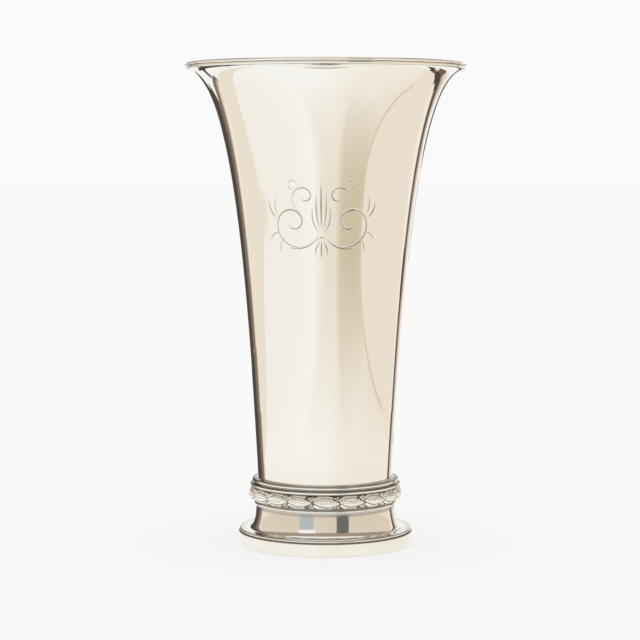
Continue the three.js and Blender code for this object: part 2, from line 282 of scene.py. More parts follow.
def arc(middle, radii, start, end, steps=ARC_STEPS):
    """Points on an elliptic arc between two angles in degrees."""
    turns = np.radians(np.linspace(start, end, steps + 1))
    return [(middle[0] + radii[0] * math.cos(turn), middle[1] + radii[1] * math.sin(turn)) for turn in turns]


def bow(*corners, steps=CUT_STEPS):
    """Points on a line that leaves its first corner for the second one, and so on to the last."""
    share = np.linspace(0, 1, steps + 1)[:, None]
    lines = [np.tile(corner, (steps + 1, 1)) for corner in corners]
    while len(lines) > 1:
        lines = [(1 - share) * first + share * second for first, second in zip(lines, lines[1:])]
    return lines[0]


def add_values(mesh, name, values):
    """Keep a number for each vertex, which a material can read by its name."""
    mesh.attributes.new(name, 'FLOAT', 'POINT').data.foreach_set("value", np.ravel(values).astype(np.float32))


def new_piece(name, vertices, faces):
    """A smooth-shaded mesh object of the scene."""
    mesh = bpy.data.meshes.new(name)
    mesh.from_pydata(vertices, [], faces)
    mesh.shade_smooth()
    piece = bpy.data.objects.new(name, mesh)
    bpy.context.scene.collection.objects.link(piece)
    return piece


def ring_quads(rows, columns):
    """Faces of a grid that closes round the axis and along its section."""
    faces = []
    for row in range(rows):
        below, above = row * columns, (row + 1) % rows * columns
        for column in range(columns):
            beside = (column + 1) % columns
            faces.append((below + column, below + beside, above + beside, above + column))
    return faces


def turned(name, section, hollow=None, tarnish=None):
    """A closed section, drawn as radius and height against the clock, turned about the axis."""
    turns = np.linspace(0, 2 * math.pi, AROUND, endpoint=False)
    radius, height = np.array(section).T
    places = np.stack([
        np.outer(radius, np.cos(turns)),
        np.outer(radius, np.sin(turns)),
        np.repeat(height[:, None], AROUND, axis=1),
    ], axis=-1)
    piece = new_piece(name, places.reshape(-1, 3).tolist(), ring_quads(len(section), AROUND))
    piece.data.set_sharp_from_angle(angle=SHARP_ANGLE)
    for label, values in (("hollow", hollow), ("tarnish", tarnish)):
        if values is not None:
            add_values(piece.data, label, np.repeat(values, AROUND))
    return piece


def place(piece, node, slot, *materials):
    """Give a piece its materials and let it stand for its solid."""
    for material in materials:
        piece.data.materials.append(material)
    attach(piece, BODY)
    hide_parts(node)


def fade(values, start, end):
    """A smooth step from 0 at the start to 1 at the end."""
    share = np.clip((np.asarray(values) - start) / (end - start), 0, 1)
    return share * share * (3 - 2 * share)


def add(tree, kind, inputs=None, **settings):
    """Add a node, set its properties, and set or link its inputs."""
    node = tree.nodes.new(kind)
    for name, value in settings.items():
        setattr(node, name, value)
    for name, value in (inputs or {}).items():
        if isinstance(value, bpy.types.NodeSocket):
            tree.links.new(value, node.inputs[name])
        else:
            node.inputs[name].default_value = value
    return node


def new_material(name):
    """A node material and its tree, which is still empty."""
    material = bpy.data.materials.new(name)
    material.use_nodes = True
    material.node_tree.nodes.clear()
    return material, material.node_tree


def rgba(values):
    """A colour with full opacity."""
    return (*values, 1)


def silver(name, ripple, ripple_depth, grain, grain_depth, roughness, bright=None):
    """Silver that is bright where it was buffed and darkens with tarnish in its hollows, and with painted
    shade where a piece carries it.

    The ripple is what the hammer or the lathe left under the polish, and the grain is what the buff
    and years of wiping left on it. Both are sizes in metres: first round the vase, then up it. Real
    buffing lines are some hundredths of a millimetre wide, so the grain is drawn coarser to show.
    """
    finish = bpy.context.scene.vase_finish
    material, tree = new_material(name)
    place_on_vase = add(tree, 'ShaderNodeTexCoord').outputs['Object']
    patterns = []
    for (around, up), detail in (((finish.cloud, finish.cloud), 3.0), (ripple, 1.0), (grain, 2.0)):
        stretched = add(tree, 'ShaderNodeMapping', {
            'Vector': place_on_vase, 'Scale': (1 / around, 1 / around, 1 / up),
        })
        patterns.append(add(tree, 'ShaderNodeTexNoise', {
            'Vector': stretched.outputs['Vector'], 'Scale': 1.0, 'Detail': detail,
        }).outputs['Fac'])
    clouds, ripples, grains = patterns
    hollow = add(tree, 'ShaderNodeAttribute', attribute_name="hollow").outputs['Fac']
    tarnish = add(tree, 'ShaderNodeAttribute', attribute_name="tarnish").outputs['Fac']

    film = add(tree, 'ShaderNodeMath', {0: tarnish, 1: finish.film}, operation='ADD')
    patches = add(tree, 'ShaderNodeMapRange', {'Value': clouds, **NOISE_SPREAD, **PATCHES})
    patchy = add(tree, 'ShaderNodeMath', {
        0: film.outputs[0], 1: patches.outputs['Result'],
    }, operation='MULTIPLY', use_clamp=True)
    filmed = add(tree, 'ShaderNodeMix', {
        'Factor': patchy.outputs[0], 6: rgba(bright or finish.bright), 7: rgba(finish.warm),
    }, data_type='RGBA')
    # The hollow values darken toward oxide: real oxide in cuts and crevices, and painted shade and painted
    # reflection on the collar's wires and the foot
    darkened = add(tree, 'ShaderNodeMix', {
        'Factor': hollow, 6: filmed.outputs[2], 7: rgba(finish.oxide),
    }, data_type='RGBA')

    worn = add(tree, 'ShaderNodeMapRange', {
        'Value': grains, **NOISE_SPREAD, 'To Min': roughness[0], 'To Max': roughness[1],
    })
    matt = add(tree, 'ShaderNodeMath', {
        0: hollow, 1: OXIDE_ROUGHNESS, 2: worn.outputs['Result'],
    }, operation='MULTIPLY_ADD')
    under = add(tree, 'ShaderNodeBump', {'Height': ripples, 'Distance': ripple_depth})
    over = add(tree, 'ShaderNodeBump', {
        'Height': grains, 'Distance': grain_depth, 'Normal': under.outputs['Normal'],
    })
    shader = add(tree, 'ShaderNodeBsdfPrincipled', {
        'Base Color': darkened.outputs[2], 'Roughness': matt.outputs[0], 'Metallic': 1.0,
        'Normal': over.outputs['Normal'],
    })
    add(tree, 'ShaderNodeOutputMaterial', {'Surface': shader.outputs['BSDF']})
    return material


def raised_silver():
    """Sterling sheet raised by hammer and polished: near-white mirror with faint hammer waves."""
    return silver(
        "raised_silver", ripple=(26 * MM, 34 * MM), ripple_depth=0.03 * MM,
        grain=(5 * MM, 1.2 * MM), grain_depth=0.0006 * MM, roughness=(0.025, 0.055))


def drawn_wire():
    """Sterling wire drawn through a die: bright on its crest, with fine lines along its length."""
    return silver(
        "drawn_silver_wire", ripple=(9 * MM, 4 * MM), ripple_depth=0.01 * MM,
        grain=(6 * MM, 0.4 * MM), grain_depth=0.001 * MM, roughness=(0.05, 0.1))


def spun_silver():
    """Sterling sheet spun on a lathe: mirror bright, with faint rings and a film of warm tarnish."""
    return silver(
        "spun_silver", ripple=(20 * MM, 5 * MM), ripple_depth=0.008 * MM,
        grain=(6 * MM, 0.5 * MM), grain_depth=0.001 * MM, roughness=(0.05, 0.1))


def chased_silver():
    """Sterling strip chased with punches: worn bright on the leaves, black oxide in the hollows."""
    return silver(
        "chased_silver", ripple=(3 * MM, 2 * MM), ripple_depth=0.03 * MM,
        grain=(0.6 * MM, 0.6 * MM), grain_depth=0.004 * MM, roughness=(0.06, 0.13))


def dull_silver():
    """Sterling left unpolished after pickling: a soft white-grey sheen with water marks."""
    return silver(
        "pickled_silver", ripple=(12 * MM, 12 * MM), ripple_depth=0.02 * MM,
        grain=(0.8 * MM, 0.8 * MM), grain_depth=0.004 * MM, roughness=(0.3, 0.45),
        bright=bpy.context.scene.vase_finish.dull)


def body_sweep():
    """Distances along the body's outer outline, and its radius, height and outward normal at each."""
    sizes = bpy.context.scene.vase_body
    line = bow(
        (sizes.base_radius, sizes.base_height),
        (sizes.base_radius + sizes.taper_out, sizes.base_height + sizes.taper_up),
        (sizes.lip_radius - sizes.flare_in, sizes.lip_height - sizes.flare_down),
        (sizes.lip_radius, sizes.lip_height), steps=SWEEP_STEPS)
    along = np.gradient(line, axis=0)
    along /= np.linalg.norm(along, axis=1)[:, None]
    travelled = np.concatenate([[0], np.cumsum(np.linalg.norm(np.diff(line, axis=0), axis=1))])
    return travelled, np.column_stack([line, along[:, 1], -along[:, 0]])


def sweep_at(distances):
    """Radius, height and normal of the body's outline at some distances from its base."""
    travelled, values = body_sweep()
    return np.column_stack([np.interp(distances, travelled, column) for column in values.T])


def body_radius(height):
    """The body's outer radius at a height."""
    _, values = body_sweep()
    return float(np.interp(height, values[:, 1], values[:, 0]))


def spiral(middle, radius, start, sweep, shrink):
    """A line that winds in about a middle, from a start angle through a sweep in degrees."""
    turns = np.radians(np.linspace(0, sweep, SPIRAL_STEPS))
    reach = radius * np.exp(-shrink * np.abs(turns))
    bearing = math.radians(start) + turns
    return np.column_stack([middle[0] + reach * np.cos(bearing), middle[1] + reach * np.sin(bearing)])


def ornament_cuts():
    """The engraved lines, in millimetres from the ornament's middle, with each one's weight.

    A palmette stands between two scrolls that are mirror images, over a hanging drop.
    """
    one_side = [
        (spiral((14.5, -2.5), 15.5, -152, 520, 0.215), 1.0),
        (spiral((8.4, 10.6), 8.2, -76, 440, 0.22), 0.8),
        (bow((1.6, -9.8), (8, -17.5), (17.5, -15.2)), 0.7),
        (bow((23.6, -0.2), (27.6, 2.2), (28.0, 8.8)), 0.9),
        (bow((23.2, 1.6), (25.0, 5.2), (23.8, 10.6)), 0.7),
        (bow((22.8, -7.4), (26.8, -7.6), (28.4, -11.6)), 0.8),
        (bow((20.4, -10.6), (22.8, -13.2), (22.6, -17.6)), 0.7),
        (bow((1.2, -7.6), (5.6, -2.6), (4.4, 5.0)), 0.8),
        (bow((0.8, -6.2), (3.4, 3.0), (2.2, 12.0)), 0.9),
        (bow((0.7, -12.2), (3.6, -15.2), (3.2, -19.4)), 0.8),
        (spiral((14.4, 16.4), 3.0, 200, -340, 0.12), 0.5),
    ]
    cuts = list(one_side)
    for line, weight in one_side:
        cuts.append((line * (-1, 1), weight))
    cuts.append((bow((0, -6.0), (0, 5), (0, 19.5)), 1.2))
    cuts.append((bow((0, -11.6), (0, -16), (0, -21.0)), 1.1))
    cuts.append((bow((-0.9, -9.6), (0, -10.6), (0.9, -9.6)), 1.0))
    return cuts


def engraved(around, up):
    """Depth of the engraving on a grid of distances round and up from the ornament's middle."""
    sizes = bpy.context.scene.vase_ornament
    depth = np.zeros((len(up), len(around)))
    for line, weight in ornament_cuts():
        swelling = np.sin(math.pi * np.linspace(0, 1, len(line))) ** SWELLING
        halves = (sizes.hairline + (sizes.swell * weight - sizes.hairline) * swelling) / 2
        for step in np.linspace(0, len(line) - 1, len(line) * STAMPS):
            half = np.interp(step, range(len(line)), halves)
            middle = [np.interp(step, range(len(line)), column) * MM for column in line.T]
            columns = slice(*np.searchsorted(around, (middle[0] - half, middle[0] + half)))
            rows = slice(*np.searchsorted(up, (middle[1] - half, middle[1] + half)))
            away = ((around[None, columns] - middle[0]) ** 2 + (up[rows, None] - middle[1]) ** 2) / half ** 2
            cut = 2 * half * sizes.steepness * np.clip(1 - away, 0, 1)
            depth[rows, columns] = np.maximum(depth[rows, columns], cut)
    return depth


def turned_to(turn, outwards, sideways, up):
    """A vector with parts away from the axis, round it and along it, at some turn round the vase."""
    return (
        outwards * math.cos(turn) - sideways * math.sin(turn),
        outwards * math.sin(turn) + sideways * math.cos(turn),
        up,
    )


class BodyLattice:
    """The body's mesh in the making.

    Its outside is a lattice with FINE points to a step of the body. All of them become vertices in the
    engraved window, and elsewhere only those at the corners of a step.
    """

    def __init__(self, ornament):
        travelled, _ = body_sweep()
        self.sweep_length = travelled[-1]
        self.outline = sweep_at(np.linspace(0, self.sweep_length, BODY_ROWS * FINE + 1))
        self.column_angle = 2 * math.pi / (BODY_COLUMNS * FINE)
        self.vertices, self.normals, self.cuts, self.faces = [], [], [], []
        self.number_of = {}
        self.engrave(ornament)

    def engrave(self, ornament):
        """Work out the window, and in it the cuts and how they tilt the surface."""
        row_height = self.sweep_length / BODY_ROWS
        middle_row = np.searchsorted(self.outline[:, 1], ornament.height)
        middle_radius = self.outline[middle_row, 0]
        column_width = middle_radius * self.column_angle * FINE
        middle = round(middle_row / FINE)
        front = round((ornament.turn - math.pi / 2) % (2 * math.pi) / (self.column_angle * FINE))
        row_reach = math.ceil(ornament.half_height / row_height)
        column_reach = math.ceil(ornament.half_width / column_width)
        self.window_rows = range(middle - row_reach, middle + row_reach)
        self.window_columns = range(front - column_reach, front + column_reach)

        rows = np.arange(self.window_rows.start * FINE, self.window_rows.stop * FINE + 1)
        columns = np.arange(self.window_columns.start * FINE, self.window_columns.stop * FINE + 1)
        up = (rows - middle_row) * row_height / FINE
        around = (columns - front * FINE) * column_width / FINE
        depth = engraved(around, up)
        self.engraving = np.stack([depth, *np.gradient(depth, up, around)], axis=-1)

    def engraving_at(self, row, column):
        """Depth and two slopes of the engraving at a lattice point, all none outside the window."""
        local = row - self.window_rows.start * FINE, column - self.window_columns.start * FINE
        if all(0 <= place < size for place, size in zip(local, self.engraving.shape)):
            return self.engraving[local]
        return 0, 0, 0

    def vertex(self, row, column):
        """The number of a lattice point's vertex, which is made when it is first asked for."""
        key = row, column % (BODY_COLUMNS * FINE)
        if key not in self.number_of:
            self.number_of[key] = len(self.vertices)
            radius, height, out, rise = self.outline[row]
            cut, tilt_up, tilt_around = self.engraving_at(row, column)
            turn = column * self.column_angle
            self.vertices.append(turned_to(turn, radius - cut * out, 0, height - cut * rise))
            self.normals.append(turned_to(turn, out - tilt_up * rise, tilt_around, rise + tilt_up * out))
            self.cuts.append(cut)
        return self.number_of[key]

    def edge(self, start, end, dense):
        """Vertices from one corner of a step on towards the next, without that one, and dense if asked."""
        stops = FINE if dense else 1
        return [
            self.vertex(
                start[0] + (end[0] - start[0]) * stop // stops,
                start[1] + (end[1] - start[1]) * stop // stops,
            )
            for stop in range(stops)
        ]

    def in_window(self, row, column):
        """Whether a step of the body lies in the engraved window."""
        return row in self.window_rows and column in self.window_columns

    def cover(self, row, column):
        """Add the faces of one step: many small ones in the window, and one elsewhere."""
        low, high, left, right = row * FINE, (row + 1) * FINE, column * FINE, (column + 1) * FINE
        if self.in_window(row, column):
            for below in range(low, high):
                for beside in range(left, right):
                    self.faces.append((
                        self.vertex(below, beside), self.vertex(below, beside + 1),
                        self.vertex(below + 1, beside + 1), self.vertex(below + 1, beside),
                    ))
        else:
            self.faces.append(
                self.edge((low, left), (low, right), self.in_window(row - 1, column))
                + self.edge((low, right), (high, right), self.in_window(row, column + 1))
                + self.edge((high, right), (high, left), self.in_window(row + 1, column))
                + self.edge((high, left), (low, left), self.in_window(row, column - 1)))

    def line(self, sheet, base_height):
        """Add the inside, a sheet further in, joined to the outside at the lip and at the base."""
        inner = sweep_at(np.linspace(self.sweep_length, 0, INSIDE_ROWS + 1))
        inner[:, :2] -= sheet * inner[:, 2:]
        inner[-1, 1] = base_height
        turns = np.arange(BODY_COLUMNS) * self.column_angle * FINE
        last = [self.vertex(BODY_ROWS * FINE, column * FINE) for column in range(BODY_COLUMNS)]
        for radius, height, out, rise in inner:
            ring = range(len(self.vertices), len(self.vertices) + BODY_COLUMNS)
            self.vertices += [turned_to(turn, radius, 0, height) for turn in turns]
            self.normals += [turned_to(turn, -out, 0, -rise) for turn in turns]
            self.join(last, ring)
            last = ring
        self.join(last, [self.vertex(0, column * FINE) for column in range(BODY_COLUMNS)])

    def join(self, below, above):
        """Add the faces between two rings of vertices."""
        for step in range(BODY_COLUMNS):
            beside = (step + 1) % BODY_COLUMNS
            self.faces.append((below[step], below[beside], above[beside], above[step]))


class VASE_OT_body(bpy.types.Operator):
    """Make the raised body with its engraving, and the floor inside it"""
    bl_idname = "vase.body"
    bl_label = "Body and floor"

    def execute(self, context):
        """Build both pieces in place."""
        place(self.shell(context.scene), "body_shell", "polished_silver", raised_silver(), dull_silver())
        place(self.floor(context.scene.vase_body), "body_floor", "dull_silver", dull_silver())
        return {'FINISHED'}

    def shell(self, scene):
        """One sheet with an engraved outside and a plain inside."""
        sizes, ornament, finish = scene.vase_body, scene.vase_ornament, scene.vase_finish
        lattice = BodyLattice(ornament)
        for row in range(BODY_ROWS):
            for column in range(BODY_COLUMNS):
                lattice.cover(row, column)
        outside_faces = len(lattice.faces)
        lattice.line(sizes.sheet, sizes.base_height)

        piece = new_piece("body_shell_raised", lattice.vertices, lattice.faces)
        mesh = piece.data
        normals = np.array(lattice.normals)
        normals /= np.linalg.norm(normals, axis=1)[:, None]
        mesh.normals_split_custom_set_from_vertices(normals)
        inside = np.arange(len(lattice.faces)) >= outside_faces
        mesh.polygons.foreach_set("material_index", inside.astype(np.int32))

        deepest = ornament.swell * ornament.steepness
        hollow = np.zeros(len(lattice.vertices))
        hollow[:len(lattice.cuts)] = ornament.oxide * fade(lattice.cuts, 0, FULL_OXIDE * deepest)
        add_values(mesh, "hollow", hollow)
        heights = np.array(lattice.vertices)[:, 2]
        collar_top = span("collar_top_reed")[1]
        above_collar = fade(heights, collar_top, collar_top + finish.collar_reach)
        add_values(mesh, "tarnish", finish.collar_tarnish * (1 - above_collar))
        return piece

    def floor(self, sizes):
        """A disc, domed a little, with solder run round its edge."""
        low = sizes.base_height
        fillet = sizes.fillet
        edge = sizes.floor_radius - fillet
        solder = arc((edge, sizes.floor_top + fillet), (fillet, fillet), 0, -90, CORNER_STEPS)
        dome = [
            (edge * share, sizes.floor_top - sizes.floor_dome * (1 - share ** 2))
            for share in np.linspace(1, 0, DOME_STEPS)
        ]
        piece = turned("body_floor_disc", [(0, low), (sizes.floor_radius, low)] + solder + dome[1:])
        mesh = bmesh.new()
        mesh.from_mesh(piece.data)
        bmesh.ops.remove_doubles(mesh, verts=mesh.verts, dist=MERGE_DISTANCE)
        mesh.to_mesh(piece.data)
        mesh.free()
        return piece


def half_round(name, bores, base, top, outer, wires):
    """A wire with a plain bore and a half-round face, dark where it meets its neighbours."""
    height = top - base
    bulge = min(height / 2, outer - max(bores) - wires.land)
    face = arc((outer - bulge, (base + top) / 2), (bulge, height / 2), -90, 90, 2 * ARC_STEPS)
    section = [(bores[0], base)] + face + [(bores[1], top)]
    heights = np.array(section)[:, 1]
    below = 1 - fade(heights - base, 0, wires.crevice)
    above = 1 - fade(top - heights, 0, wires.crevice)
    return turned(name, section, wires.reed_oxide * np.maximum(below, above))


def crested(name, bores, base, top, outer, crest, inner, wires):
    """A ring whose round crest hangs low, under a hollow that runs up to a neighbour's face."""
    face = arc((outer - crest, base + crest + wires.land), (crest, crest), -90, CREST_END, 2 * ARC_STEPS)
    edge = face[-1]
    hollow = bow(edge, (inner + wires.land, edge[1]), (inner, top), steps=ARC_STEPS)
    section = [(bores[0], base), (face[0][0], base)] + face + hollow[1:].tolist() + [(bores[1], top)]
    heights = np.array(section)[:, 1]
    # Under the crest: oxide in the crevice and painted shade
    below = 1 - fade(heights - base, wires.land, wires.land + wires.crevice)
    start, full = (edge[1] - share * crest for share in OVER_CREST)
    # Over the crest: oxide in the hollow and a painted reflection of a dark room overhead
    above = fade(heights, start, full) - fade(heights, edge[1], edge[1] + wires.crevice)
    return turned(name, section, np.maximum(wires.under_oxide * below, wires.over_oxide * above))


class VASE_OT_lip(bpy.types.Operator):
    """Make the two wires of the lip"""
    bl_idname = "vase.lip"
    bl_label = "Lip wires"

    def execute(self, context):
        """Build the reed under the lip, and the lip wire that thins out over the sheet."""
        wires, body = context.scene.vase_wires, context.scene.vase_body
        base, top, outer = span("rim_reed")
        bore = body.lip_radius + wires.gap
        reed = half_round("rim_reed_wire", (bore, bore), base, top, outer, wires)
        place(reed, "rim_reed", "polished_silver", drawn_wire())

        _, top, outer = span("lip_wire")
        base = span("rim_reed")[1] + wires.gap
        bulge = (top - base) / 2
        shoulder = outer - bulge
        travelled, _ = body_sweep()
        seat = sweep_at(np.linspace(travelled[-1] - wires.lip_seat, travelled[-1], ARC_STEPS))
        seat[:, :2] -= (body.sheet + wires.gap) * seat[:, 2:]
        inner_edge = seat[0, :2] - wires.lip_feather * seat[0, 2:]
        round_face = arc((shoulder, base + bulge), (bulge, bulge), -90, 90)
        slope = bow((shoulder, top), (body.lip_radius, top), inner_edge, steps=ARC_STEPS)
        section = (
            [(body.lip_radius, base)] + round_face + slope[1:].tolist() + seat[:, :2].tolist())
        radii, heights = np.array(section).T
        crevice = np.where(radii > shoulder, 1 - fade(heights - base, 0, wires.crevice), 0)
        lip = turned("lip_wire_bead", section, wires.lip_oxide * crevice)
        place(lip, "lip_wire", "polished_silver", drawn_wire())
        return {'FINISHED'}


class VASE_OT_collar(bpy.types.Operator):
    """Make the plain wires of the collar"""
    bl_idname = "vase.collar"
    bl_label = "Collar wires"

    def execute(self, context):
        """Build the two reeds round the body, and the bead round the foot's neck."""
        wires = context.scene.vase_wires
        top_reed = span("collar_top_reed")
        leaning_in = body_radius(top_reed[1]) + wires.gap
        for node, crest, inner in (
                ("collar_top_reed", wires.top_crest, leaning_in + wires.land),
                ("collar_second_reed", wires.second_crest, top_reed[2] - wires.top_crest)):
            base, top, outer = span(node)
            top = min(top, base + wires.land + 2 * crest + wires.hollow_rise)
            bores = body_radius(base) + wires.gap, body_radius(top) + wires.gap
            reed = crested(node + "_wire", bores, base, top, outer, crest, inner, wires)
            place(reed, node, "polished_silver", drawn_wire())
        place(self.bead(wires), "collar_base_bead", "polished_silver", drawn_wire())
        return {'FINISHED'}

    def bead(self, wires):
        """A round crest between two narrow dark lands."""
        base, top, outer = span("collar_base_bead")
        middle = (base + top) / 2
        crest = wires.bead_crest
        face = arc((outer - crest, middle), (crest, crest), -90, 90, 2 * ARC_STEPS)
        land = outer - crest
        section = [(wires.bead_bore, base), (land, base)] + face + [(land, top), (wires.bead_bore, top)]
        heights = np.array(section)[:, 1]
        # Both sides of the bead's bright crest: partly oxide, partly painted shade and painted reflection
        above = wires.over_oxide * fade(heights - middle, OFF_BEAD[0] * crest, crest)
        below = wires.under_oxide * fade(middle - heights, OFF_BEAD[1] * crest, crest)
        return turned("collar_base_bead_wire", section, above + below)


class VASE_OT_laurel(bpy.types.Operator):
    """Make the chased laurel band"""
    bl_idname = "vase.laurel"
    bl_label = "Laurel band"

    COLUMNS_PER_UNIT = 96
    ROWS = 52
    SEED = 7
    LEAF_SHARP_ANGLE = math.radians(80)  # edges on the band that turn by more are drawn sharp
    RELIEF_END = 0.35 * MM  # the relief dies out this near the band's edges
    REACH = 1.3  # units from its own to which a leaf can reach

    # Oxide: full below the first relief and none above the second, weaker near the band's edges
    HOLLOW_RELIEF = 0.03 * MM, 0.3 * MM
    EDGE_MARGIN = 0.1 * MM, 0.7 * MM
    EDGE_OXIDE = 0.4
    FACE_OXIDE = 0.9

    # How leaves and berries differ, as lengths or as shares of their sizes
    STRAY_ACROSS = 0.2 * MM
    STRAY_UP = 0.1 * MM
    SIZE_SPREAD = 0.08
    RELIEF_SPREAD = 0.06
    LEAN_SPREAD = 0.4
    SIDE_LEAN_SPREAD = 0.3

    # Berries: how far behind a joint each one lies, its share of the berries' rise, and their height
    BERRY_PLACES = ((1.9 * MM, 0.92), (0.5 * MM, 1.06), (1.0 * MM, 0.5))
    BERRY_STRETCH = 1.4

    # Dents: times they are spread over their neighbours, and the relief over which they set in
    DENT_SPREADS = 10
    DENTED_RELIEF = 0.2 * MM, 0.4 * MM

    # A leaf's outline and dome as powers of a sine, and its heights as shares of its relief
    POINTEDNESS = 0.85
    DOME_POWER = 0.5
    DOME = 0.6
    BASE_LIFT = 0.3
    TIP_LIFT = 0.16
    CREASE = 0.12
    VEIN_DEPTH = 0.08
    VEIN_SLANT = 1.1
    RIB_WIDTH = 0.2 * MM
    LEAF_EDGE = 0.16 * MM
    RIB_START = 0.05, 0.3  # shares of the leaf over which its crease sets in
    TINY = 1e-9  # keeps a leaf's pointed ends from a division by nothing

    def execute(self, context):
        """Build the strip, with its relief as a fine height field over the bulging face."""
        sizes, wires = context.scene.vase_laurel, context.scene.vase_wires
        base, top, _ = span("laurel_band")
        bore = body_radius(base) + wires.gap
        half = (top - base) / 2
        columns = self.COLUMNS_PER_UNIT * sizes.units
        turns = np.arange(columns) * 2 * math.pi / columns
        rise = np.linspace(-half, half, self.ROWS + 1)
        face = bore + sizes.thickness + sizes.crown * np.sqrt(np.clip(1 - (rise / half) ** 2, 0, 1))
        middle = bore + sizes.thickness + sizes.crown
        from_edge = (half - np.abs(rise))[:, None]
        relief = self.relief(sizes, turns, rise, middle) * fade(from_edge, 0, self.RELIEF_END)
        radius = face[:, None] + relief
        height = np.repeat((base + half + rise)[:, None], columns, axis=1)
        bore_top = body_radius(top) + wires.gap
        radius = np.vstack([radius, np.full(columns, bore_top), np.full(columns, bore)])
        height = np.vstack([height, np.full(columns, top), np.full(columns, base)])
        places = np.stack([radius * np.cos(turns), radius * np.sin(turns), height], axis=-1)
        faces = ring_quads(len(radius), columns)
        piece = new_piece("laurel_band_chased", places.reshape(-1, 3).tolist(), faces)
        piece.data.set_sharp_from_angle(angle=self.LEAF_SHARP_ANGLE)
        on_face = fade(from_edge, *self.EDGE_MARGIN)
        oxide = self.EDGE_OXIDE + (self.FACE_OXIDE - self.EDGE_OXIDE) * on_face
        hollow = oxide * (1 - fade(relief, *self.HOLLOW_RELIEF))
        add_values(piece.data, "hollow", np.vstack([hollow, np.zeros((2, columns))]))
        place(piece, "laurel_band", "oxidised_silver", chased_silver())
        return {'FINISHED'}

    def relief(self, sizes, turns, rise, middle):
        """How far the garland stands out of the strip at every point of the grid."""
        chance = np.random.default_rng(self.SEED)
        pitch = 2 * math.pi / sizes.units
        joint = pitch / 2 * middle
        relief = np.zeros((len(rise), len(turns)))
        main_leaves = []
        for step in range(sizes.units):
            # From the back round to the back again, so that each leaf's tip lies over the next one's base
            unit = sizes.units // 2 - step
            off = (turns - unit * pitch + math.pi / 2 + math.pi) % (2 * math.pi) - math.pi
            near = np.abs(off) < self.REACH * pitch
            across = off[near][None, :] * middle + chance.normal(0, self.STRAY_ACROSS)
            up = rise[:, None] + chance.normal(0, self.STRAY_UP)
            for side in (-1, 1):
                along, aside = self.leaning(
                    across + joint - sizes.side_start, up - side * sizes.side_rise,
                    side * sizes.side_lean * chance.normal(1, self.SIDE_LEAN_SPREAD))
                size = sizes.side_length * chance.normal(1, self.SIZE_SPREAD)
                relief[:, near] = self.laid_over(
                    relief[:, near], sizes, along, aside, size, sizes.side_width, sizes.side_relief)
                for behind, spread in self.BERRY_PLACES:
                    radius = sizes.berry_radius * chance.normal(1, self.SIZE_SPREAD)
                    away = np.hypot(across + joint + behind, up - side * sizes.berry_rise * spread)
                    berry = self.BERRY_STRETCH * np.sqrt(np.clip(radius ** 2 - away ** 2, 0, None))
                    cut = relief[:, near] * fade(away - radius, 0, sizes.groove)
                    relief[:, near] = np.maximum(cut, berry)
            along, aside = self.leaning(across, up, -sizes.leaf_lean * chance.normal(1, self.LEAN_SPREAD))
            full = sizes.leaf_relief * chance.normal(1, self.RELIEF_SPREAD)
            main_leaves.append((near, along, aside, sizes.leaf_length, sizes.leaf_width, full))
        for near, *shape in main_leaves:
            relief[:, near] = self.laid_over(relief[:, near], sizes, *shape)
        dents = self.uneven(chance, relief.shape)
        return relief + sizes.dent * dents * fade(relief, *self.DENTED_RELIEF)

    def uneven(self, chance, shape):
        """Small hills and dips that close round the band, a few steps of the grid apart."""
        hills = chance.normal(size=shape)
        for _ in range(self.DENT_SPREADS):
            # The mean of each point and its four neighbours
            sideways = np.roll(hills, 1, axis=1) + np.roll(hills, -1, axis=1)
            upright = np.roll(hills, 1, axis=0) + np.roll(hills, -1, axis=0)
            hills = (hills + sideways + upright) / 5
        return hills / hills.std()

    def leaning(self, along, aside, lean):
        """Turn a leaf's two directions by its lean."""
        return (
            along * math.cos(lean) + aside * math.sin(lean), aside * math.cos(lean) - along * math.sin(lean))

    def laid_over(self, relief, sizes, along, aside, size, width, height):
        """Lay a pointed, veined leaf over what is there, with a cut round it and a crease along its rib."""
        share = np.clip(along / size + 0.5, 0, 1)
        half_width = width / 2 * np.sin(math.pi * share) ** self.POINTEDNESS
        inwards = half_width - np.abs(aside)
        across = np.abs(aside) / (half_width + self.TINY)
        rounding = np.sqrt(np.clip(1 - across ** 2, 0, 1))
        dome = self.DOME * rounding * np.sin(math.pi * share) ** self.DOME_POWER
        tilt = self.BASE_LIFT + self.TIP_LIFT * share
        crease = -self.CREASE * np.exp(-(aside / self.RIB_WIDTH) ** 2) * fade(share, *self.RIB_START)
        slanting = along - self.VEIN_SLANT * np.abs(aside)
        vein = self.VEIN_DEPTH * np.cos(2 * math.pi * slanting / sizes.vein)
        leaf = height * (dome + tilt + crease + vein) * fade(inwards, 0, self.LEAF_EDGE)
        beside = (share > 0) & (share < 1)
        cut = np.where(beside, fade(-inwards, 0, sizes.groove), 1)
        return np.where(beside & (inwards > 0), np.maximum(leaf, 0), relief * cut)


